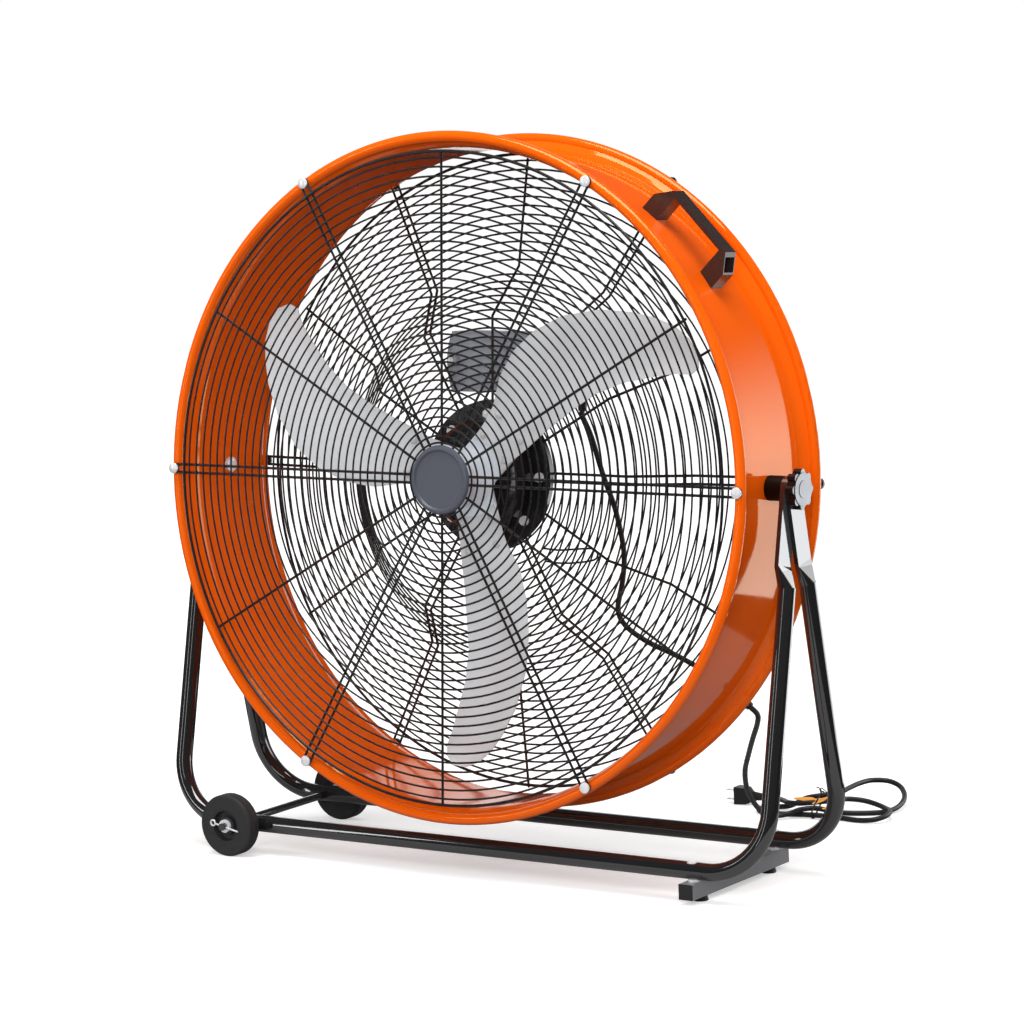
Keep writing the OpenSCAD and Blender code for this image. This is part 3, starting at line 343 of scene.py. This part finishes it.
soft_box("box_right", (1.9, -2.9, 1.5), (0.0, 0, 0.5), (1.0, 1.6), 13, never_reflected=True)
soft_box("box_left", (-2.6, -2.6, 1.9), (0, 0, 0.5), (1.2, 1.8), 7, never_reflected=True)
soft_box("box_above", (0.3, -0.5, 3.2), (0, 0, 0.3), (2.2, 1.6), 7)
soft_box("box_behind", (1.6, 2.4, 0.9), (0, 0, 0.5), (1.6, 1.6), 3, never_reflected=True)
panel = soft_box("panel_right", (0.694, 0.69, 0.50), (0.377, 0.01, 0.50), (0.70, 1.0), 2.8,
                 only_reflected=True)
fade_upward(panel, 0.50, 0.98)
soft_box("strip_front", (-0.02, -2.7, 0.8), (0.45, 0, 0.5), (0.22, 1.6), 3, only_reflected=True)
soft_box("strip_left", (-2.0, -2.4, 1.0), (-0.4, 0, 0.4), (0.16, 1.4), 6, only_reflected=True)
soft_box("wall_behind", (-2.3, 3.0, 0.6), (-1.2, 0, 0.6), (4.4, 2.6), 1.0, only_reflected=True)

# %% [markdown]
# The floor is white to the camera at any distance and still takes the stand's soft shadow. In
# the gloss of the paint it is a sheet of paper that ends a little beyond the stand, and it
# throws only a part of its light back up under the drum.

# %% Floor
sheet_radius, sheet_depth = 0.85, 0.5
gloss_dimming, bounce_dimming = 0.62, 0.7

bpy.ops.object.select_all(action="DESELECT")
bpy.ops.mesh.primitive_plane_add(size=30, location=(0, 0, 0))
floor = bpy.context.object
floor.name = "floor"

paper = bpy.data.materials.new("white_paper")
paper.use_nodes = True
tree = paper.node_tree
tree.nodes.clear()
rays = put(tree, "LightPath").outputs
place = put(tree, "TexCoord").outputs["Object"]
distance = put(tree, "VectorMath", {0: place}, operation="LENGTH").outputs["Value"]
depth = put(tree, "SeparateXYZ", {0: place}).outputs["Y"]
white = put(tree, "BsdfDiffuse", {"Color": (0.8, 0.8, 0.8, 1)}).outputs[0]
black = put(tree, "BsdfDiffuse", {"Color": (0.03, 0.03, 0.03, 1)}).outputs[0]

beyond = worked_out(tree, "MAXIMUM", worked_out(tree, "GREATER_THAN", distance, sheet_radius),
                    worked_out(tree, "GREATER_THAN", depth, sheet_depth))
in_gloss = worked_out(tree, "MULTIPLY", worked_out(tree, "MAXIMUM", beyond, gloss_dimming),
                      rays["Is Glossy Ray"])
dimming = worked_out(tree, "MULTIPLY_ADD", rays["Is Diffuse Ray"], bounce_dimming, in_gloss)
sheet = put(tree, "MixShader", {"Fac": dimming, 1: white, 2: black}).outputs[0]

glow_by_distance = put(tree, "MapRange", {
    "Value": distance, "From Min": 0.7, "From Max": 3.0, "To Min": 0.40, "To Max": 0.72,
}).outputs["Result"]
to_camera = worked_out(tree, "MULTIPLY", rays["Is Camera Ray"], glow_by_distance)
glow = put(tree, "Emission", {"Strength": to_camera}).outputs[0]
both = put(tree, "AddShader", {0: sheet, 1: glow}).outputs[0]
put(tree, "OutputMaterial", {"Surface": both})
floor.data.materials.append(paper)
print("floor:", len(tree.nodes), "nodes")

# %% [markdown]
# ## Shared surface effects
# Real paint is never quite even: a sprayed film has a faint orange-peel ripple and slight
# drifts of tone. Moulded plastic has a fine spark-eroded grain, plated steel a soft mottle.
# Each of these effects is built once, as a node group, and every finish gives it its values.

# %% A helper for node groups
def new_group(name, inputs, outputs):
    """An empty shader node group; inputs are (name, kind, value), outputs are (name, kind)."""
    group = bpy.data.node_groups.new(name, "ShaderNodeTree")
    for title, kind, value in inputs:
        socket = group.interface.new_socket(name=title, in_out="INPUT", socket_type="NodeSocket" + kind)
        socket.default_value = value
    for title, kind in outputs:
        group.interface.new_socket(name=title, in_out="OUTPUT", socket_type="NodeSocket" + kind)
    return group, group.nodes.new("NodeGroupInput"), group.nodes.new("NodeGroupOutput")


def object_noise(group, scale, detail=2.0, stretch=None):
    """A noise on Object coordinates; scale is a socket or a number, stretch three numbers."""
    source = put(group, "TexCoord").outputs["Object"]
    if stretch:
        source = put(group, "Mapping", {"Vector": source, "Scale": stretch}).outputs["Vector"]
    return put(group, "TexNoise", {"Vector": source, "Scale": scale, "Detail": detail}).outputs["Fac"]


def ranged(group, value, low_value, high_value):
    """Spreads the middle of a noise between two values, each a socket or a number."""
    return put(group, "MapRange", {
        "Value": value, "From Min": 0.3, "From Max": 0.7, "To Min": low_value, "To Max": high_value,
    }).outputs["Result"]


def toned(group, value, given, made):
    """Lets a noise choose between the group's light and dark tone."""
    tone = put(group, "Mix", {"Factor": ranged(group, value, 0.0, 1.0)}, data_type="RGBA")
    group.links.new(given.outputs["Light tone"], tone.inputs[6])
    group.links.new(given.outputs["Dark tone"], tone.inputs[7])
    group.links.new(tone.outputs[2], made.inputs["Colour"])


def sheened(group, value, given, made):
    """Lets a noise choose between the group's two roughnesses."""
    rough = ranged(group, value, given.outputs["Low roughness"], given.outputs["High roughness"])
    group.links.new(rough, made.inputs["Roughness"])


# %% Film: tone drift, sheen drift and a fine ripple
film, given, made = new_group("surface_film", (
    ("Light tone", "Color", (0.5, 0.5, 0.5, 1)), ("Dark tone", "Color", (0.4, 0.4, 0.4, 1)),
    ("Drift scale", "Float", 4.0), ("Low roughness", "Float", 0.2), ("High roughness", "Float", 0.3),
    ("Grain scale", "Float", 900.0), ("Grain depth", "Float", 0.05),
), (("Colour", "Color"), ("Roughness", "Float"), ("Normal", "Vector")))
toned(film, object_noise(film, given.outputs["Drift scale"]), given, made)
sheened(film, object_noise(film, 60.0, detail=3.0), given, made)
grain = object_noise(film, given.outputs["Grain scale"], detail=1.0)
ripple = put(film, "Bump", {"Height": grain, "Strength": given.outputs["Grain depth"], "Distance": 0.0005})
film.links.new(ripple.outputs["Normal"], made.inputs["Normal"])
print("film:", len(film.nodes), "nodes")

# %% Brushed lines along one axis
brushed, given, made = new_group("brushed_lines", (
    ("Light tone", "Color", (0.8, 0.8, 0.8, 1)), ("Dark tone", "Color", (0.6, 0.6, 0.6, 1)),
    ("Low roughness", "Float", 0.25), ("High roughness", "Float", 0.4),
), (("Colour", "Color"), ("Roughness", "Float"), ("Normal", "Vector")))
lines = object_noise(brushed, 1.0, detail=3.0, stretch=(900, 900, 30))
toned(brushed, lines, given, made)
sheened(brushed, lines, given, made)
scratches = put(brushed, "Bump", {"Height": lines, "Strength": 0.12, "Distance": 0.0003})
brushed.links.new(scratches.outputs["Normal"], made.inputs["Normal"])
print("brushed lines:", len(brushed.nodes), "nodes")

# %% [markdown]
# ## Finishes
# One call makes a finish: it places the group, hands it the values and wires its outputs to
# the shader. What is the same all over a surface, such as metalness or a clear coat, is set
# on the shader itself.

# %% Make a finish
def finish(name, light, dark, rough, grain=(900, 0.05), drift=4.0, metallic=0.0, coat=0.0, specular=0.5,
           group=film, coat_rough=0.08, ior=1.5, tint=(1, 1, 1)):
    """A material from a group: two tones, two roughnesses, the grain's scale and depth, and so on."""
    material = bpy.data.materials.new(name)
    material.use_nodes = True
    tree = material.node_tree
    effect = tree.nodes.new("ShaderNodeGroup")
    effect.node_tree = group
    values = {"Light tone": (*light, 1), "Dark tone": (*dark, 1), "Low roughness": rough[0],
              "High roughness": rough[1]}
    if group == film:
        values.update({"Drift scale": drift, "Grain scale": grain[0], "Grain depth": grain[1]})
    for socket, value in values.items():
        effect.inputs[socket].default_value = value
    shader = tree.nodes["Principled BSDF"]
    for made_here, socket in (("Colour", "Base Color"), ("Roughness", "Roughness"), ("Normal", "Normal")):
        tree.links.new(effect.outputs[made_here], shader.inputs[socket])
    for socket, value in (("Metallic", metallic), ("Coat Weight", coat), ("Coat Roughness", coat_rough),
                          ("Specular IOR Level", specular), ("IOR", ior), ("Specular Tint", (*tint, 1))):
        shader.inputs[socket].default_value = value
    return material


# %% Paints
drum_paint = finish("orange_paint", (0.86, 0.114, 0.003), (0.80, 0.098, 0.002), (0.05, 0.09),
                    (500, 0.01), 3.0, ior=1.55, tint=(1.0, 1.0, 0.45))
tube_paint = finish("black_gloss_paint", (0.012, 0.012, 0.013), (0.008, 0.008, 0.009), (0.06, 0.1),
                    (600, 0.03), coat=1.0, coat_rough=0.04, ior=1.8)
wire_paint = finish("black_wire_paint", (0.012, 0.012, 0.012), (0.007, 0.007, 0.008), (0.25, 0.4),
                    (1200, 0.06))
bar_paint = finish("grey_black_paint", (0.24, 0.24, 0.255), (0.19, 0.19, 0.205), (0.35, 0.5), (900, 0.08))
cap_paint = finish("slate_cap_paint", (0.085, 0.092, 0.115), (0.066, 0.072, 0.092), (0.34, 0.46),
                   (1000, 0.1))
box_paint = finish("slate_box_paint", (0.36, 0.38, 0.43), (0.30, 0.315, 0.355), (0.36, 0.5), (1000, 0.12))
motor_paint = finish("motor_black_paint", (0.012, 0.012, 0.013), (0.008, 0.008, 0.008), (0.14, 0.24),
                     (700, 0.08), coat=0.4)
blade_paint = finish("light_grey_paint", (0.74, 0.75, 0.77), (0.68, 0.69, 0.71), (0.3, 0.42),
                     (700, 0.05), 5.0)
hub_paint = finish("blue_grey_paint", (0.86, 0.91, 0.98), (0.76, 0.81, 0.89), (0.3, 0.44),
                   (800, 0.08), coat=0.2)

# %% Plastics, rubber, metal and paper
black_plastic = finish("black_plastic", (0.02, 0.02, 0.021), (0.013, 0.013, 0.014), (0.32, 0.46),
                       (1500, 0.12))
knob_plastic = finish("knob_plastic", (0.012, 0.006, 0.005), (0.007, 0.004, 0.003), (0.3, 0.42),
                      (1500, 0.08), specular=0.15)
spacer_plastic = finish("spacer_plastic", (0.007, 0.003, 0.002), (0.004, 0.002, 0.001), (0.4, 0.5),
                        (1500, 0.08), specular=0.1)
handle_plastic = finish("handle_plastic", (0.035, 0.022, 0.02), (0.02, 0.014, 0.013), (0.2, 0.34),
                        (1400, 0.08), coat=0.2)
rubber = finish("black_rubber", (0.022, 0.022, 0.022), (0.014, 0.014, 0.014), (0.55, 0.75), (1300, 0.16))
tyre_rubber = finish("tyre_rubber", (0.026, 0.025, 0.025), (0.016, 0.016, 0.016), (0.5, 0.7),
                     (1100, 0.18))
cord_sheath = finish("cord_sheath", (0.016, 0.016, 0.017), (0.010, 0.010, 0.011), (0.34, 0.5),
                     (1600, 0.1))
plated = finish("zinc_plate", (0.92, 0.93, 0.95), (0.76, 0.77, 0.80), (0.18, 0.34), (700, 0.06), 40.0,
                metallic=0.35)
bare_steel = finish("brushed_steel", (0.78, 0.79, 0.82), (0.60, 0.61, 0.64), (0.22, 0.36),
                    metallic=1.0, group=brushed)
gold_paper = finish("gold_paper", (0.90, 0.42, 0.07), (0.80, 0.30, 0.03), (0.4, 0.55), (900, 0.06), 60.0)
print("finishes:", [m.name for m in bpy.data.materials])

# %% [markdown]
# The star knobs' faces and the stand's tubes where they are pressed flat are black, but they face
# the bright panel at the right and look a pale metallic grey in it. Both are one piece with their
# black parts, so this reflection is painted in: the finish itself turns a pale, partly metallic grey
# where the surface faces out to the side and lies far enough out, or high enough up.

# %% Painted reflection where a surface faces out
facing_out, knob_face_x, pressed_from_z = 0.8, 0.458, 0.405


def paint_reflection_where(material, limits, painted_reflection):
    """Paints a reflection into a finish, a pale and partly metallic grey, where every (output, axis, least)
    of the surface is at least so large.
    """
    tree = material.node_tree
    shader = tree.nodes["Principled BSDF"]
    where = put(tree, "TexCoord").outputs
    mask = 1.0
    for output, axis, least in limits:
        along = put(tree, "SeparateXYZ", {0: where[output]}).outputs[axis]
        beyond = worked_out(tree, "GREATER_THAN", worked_out(tree, "ABSOLUTE", along), least)
        mask = worked_out(tree, "MULTIPLY", mask, beyond)
    colour = put(tree, "Mix", {"Factor": mask}, data_type="RGBA")
    tree.links.new(shader.inputs["Base Color"].links[0].from_socket, colour.inputs[6])
    colour.inputs[7].default_value = (*painted_reflection, 1)
    tree.links.new(colour.outputs[2], shader.inputs["Base Color"])
    tree.links.new(worked_out(tree, "MULTIPLY", mask, 0.6), shader.inputs["Metallic"])


# Painted reflection: the black knob faces turn pale grey where they face out, in place of the panel's light
# seen in them.
paint_reflection_where(knob_plastic, (("Normal", "X", facing_out), ("Object", "X", knob_face_x)), (0.30, 0.31, 0.33))
# Painted reflection: the black tubes turn pale grey on their pressed flats, in place of the panel's light
# seen in them.
paint_reflection_where(tube_paint, (("Normal", "X", facing_out), ("Object", "Z", pressed_from_z)), (0.20, 0.205, 0.215))
print("silver faces:", knob_plastic.name, tube_paint.name)

# %% Give every CAD node its finish
finishes = {
    "front_frame_tube": tube_paint, "rear_frame_tube": tube_paint, "wheel_axle": tube_paint,
    "axle_washers": plated, "axle_clips": plated, "foot_bar": bar_paint, "foot_bar_caps": black_plastic,
    "foot_bar_bolts": plated, "foot_bar_spacers": plated, "rubber_feet": rubber,
    "front_tyre": tyre_rubber, "front_wheel_hub": black_plastic, "rear_tyre": tyre_rubber,
    "rear_wheel_hub": black_plastic, "drum_shell": drum_paint, "drum_handle": handle_plastic,
    "front_grille": wire_paint, "front_grille_centre": wire_paint, "front_grille_screws": plated,
    "front_cap": cap_paint, "rear_grille": wire_paint, "rear_grille_dish": wire_paint,
    "rear_grille_screws": plated, "pivot_spacers": spacer_plastic, "pivot_bolts": plated,
    "left_star_knob": knob_plastic, "right_star_knob": knob_plastic, "motor_housing": motor_paint,
    "motor_flange": motor_paint, "motor_clamp_ring": motor_paint, "motor_bolts": plated,
    "motor_shaft": bare_steel, "rotor_hub": hub_paint, "blade_1": blade_paint, "blade_2": blade_paint,
    "blade_3": blade_paint, "blade_rivets": plated, "shaft_nut": plated, "switch_box": box_paint,
    "switch_box_cover": box_paint, "switch_box_screws": plated, "switch_dial": black_plastic,
    "cord_gland": black_plastic, "cord_clip": black_plastic, "power_cord": cord_sheath,
    "cord_hank": cord_sheath, "hank_tie": black_plastic, "mains_plug": black_plastic, "plug_pins": plated,
}
for name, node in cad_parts.items():
    node.data.materials.clear()
    node.data.materials.append(finishes[name])
for piece, material in ((free_cord, cord_sheath), (hank, cord_sheath), (wire_loop, wire_paint),
                        (twist_ends[0], black_plastic), (twist_ends[1], black_plastic), (strip, gold_paper),
                        (strip_end, gold_paper)):
    piece.data.materials.clear()
    piece.data.materials.append(material)
print("finished nodes:", len(finishes))
